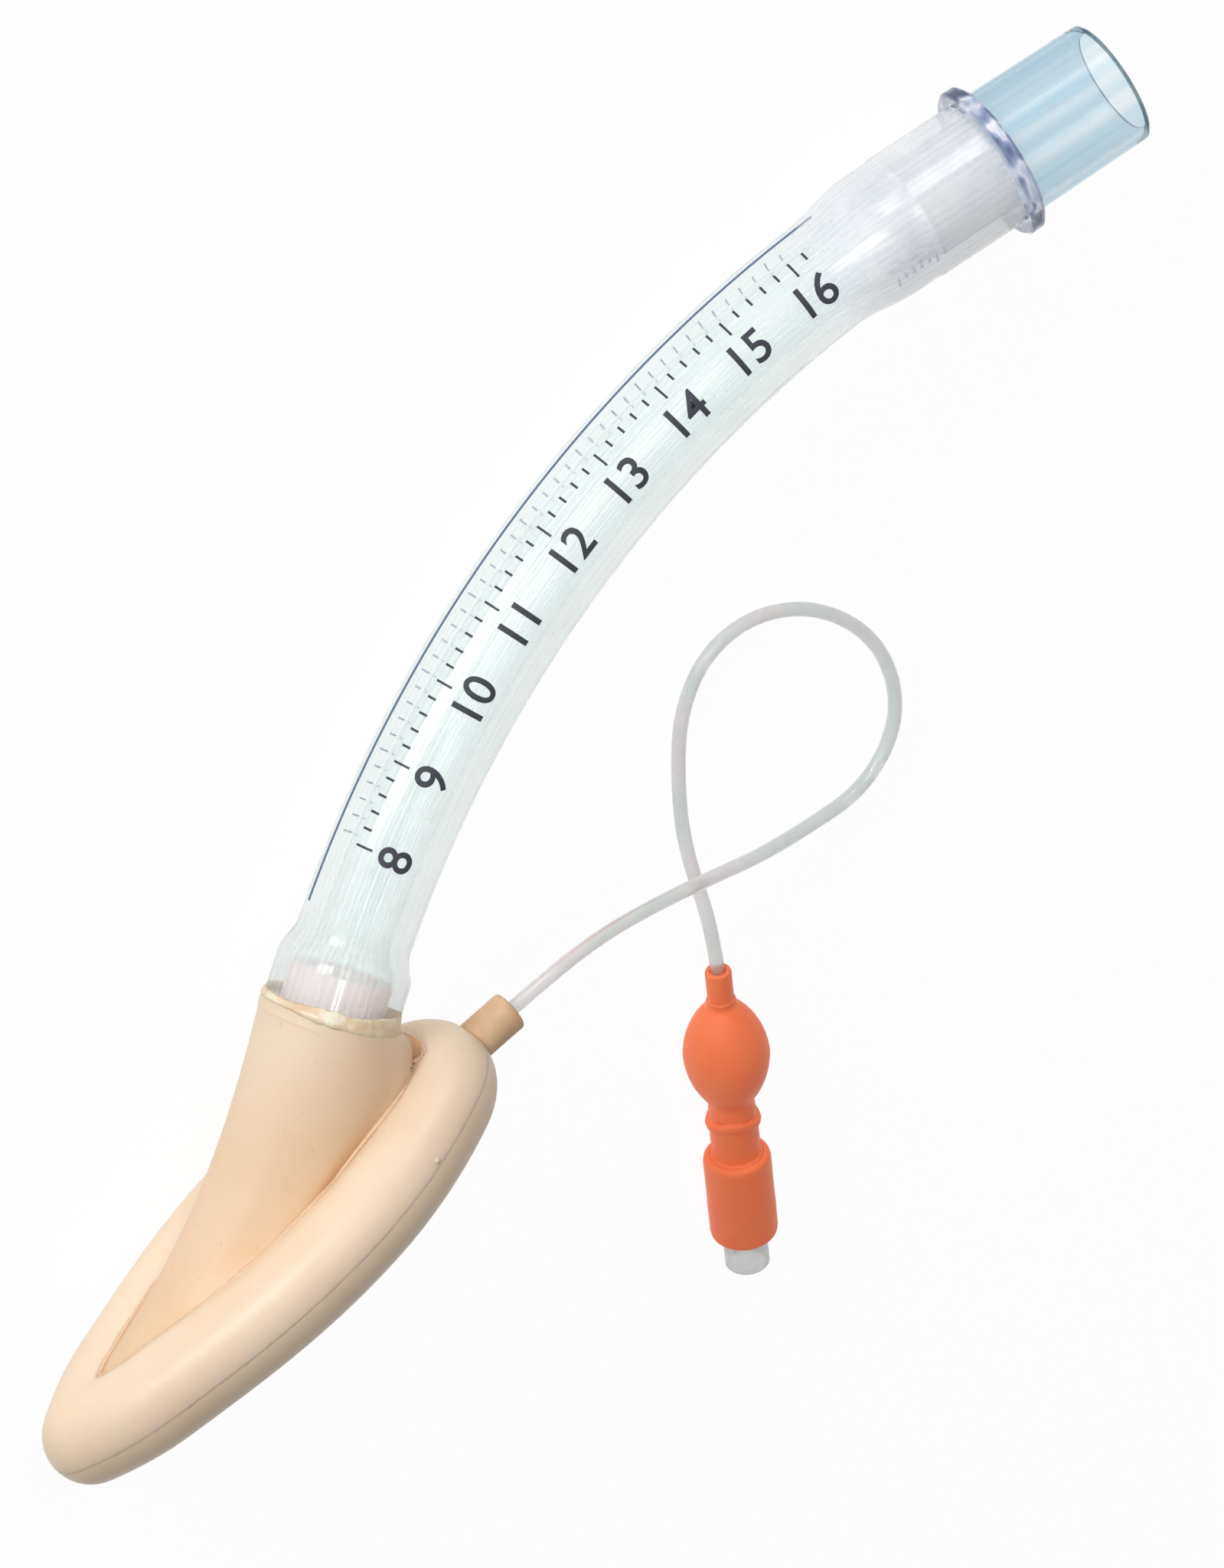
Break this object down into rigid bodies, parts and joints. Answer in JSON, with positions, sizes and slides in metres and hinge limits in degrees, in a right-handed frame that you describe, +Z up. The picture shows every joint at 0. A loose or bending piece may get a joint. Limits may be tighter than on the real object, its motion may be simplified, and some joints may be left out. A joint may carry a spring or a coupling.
{
  "type": "laryngeal mask airway",
  "caption": "Curved clear airway tube with an inflatable oval mask cuff, a taper connector and a pilot balloon with a check valve on a thin inflation line.",
  "frame": {"origin": "centre of the airway's outline on the surface it lies on, without the inflation line and pilot balloon", "axes": "+Z up from the surface; +X from the mask's tip towards the breathing connector; the airway lies on its side with its dorsal side towards +Y"},
  "size_m": [0.1994, 0.1196, 0.0332],
  "materials": {
    "airway_connector": "gloss",
    "airway_tube": "gloss",
    "mask_bowl": "satin",
    "cuff": "satin",
    "adhesive_bead": "gloss",
    "inflation_port": "satin",
    "inflation_line": "gloss",
    "pilot_balloon": "satin",
    "valve_body": "satin",
    "valve_retainer": "satin",
    "valve_stem": "satin",
    "valve_seal": "matte",
    "valve_spring": "satin"
  },
  "bodies": {
    "airway": {"airway_connector": "airway_connector", "airway_tube": "airway_tube", "mask_bowl": "mask_bowl", "cuff": "cuff", "adhesive_bead": "adhesive_bead", "inflation_port": "inflation_port", "inflation_line": "inflation_line", "pilot_balloon": "pilot_balloon", "valve_body": "valve_body", "valve_retainer": "valve_retainer", "valve_spring": "valve_spring"},
    "stem": {"valve_stem": "valve_stem", "valve_seal": "valve_seal"}
  },
  "joints": [
    {"name": "valve_stem_slide", "type": "slide", "parent": "airway", "child": "stem", "axis": [0.4151, 0.9088, 0.0406], "range_m": [0, 0.0015], "stiffness_N_per_m": 250, "springref_m": -0.0005, "deforming": ["valve_spring"]}
  ]
}
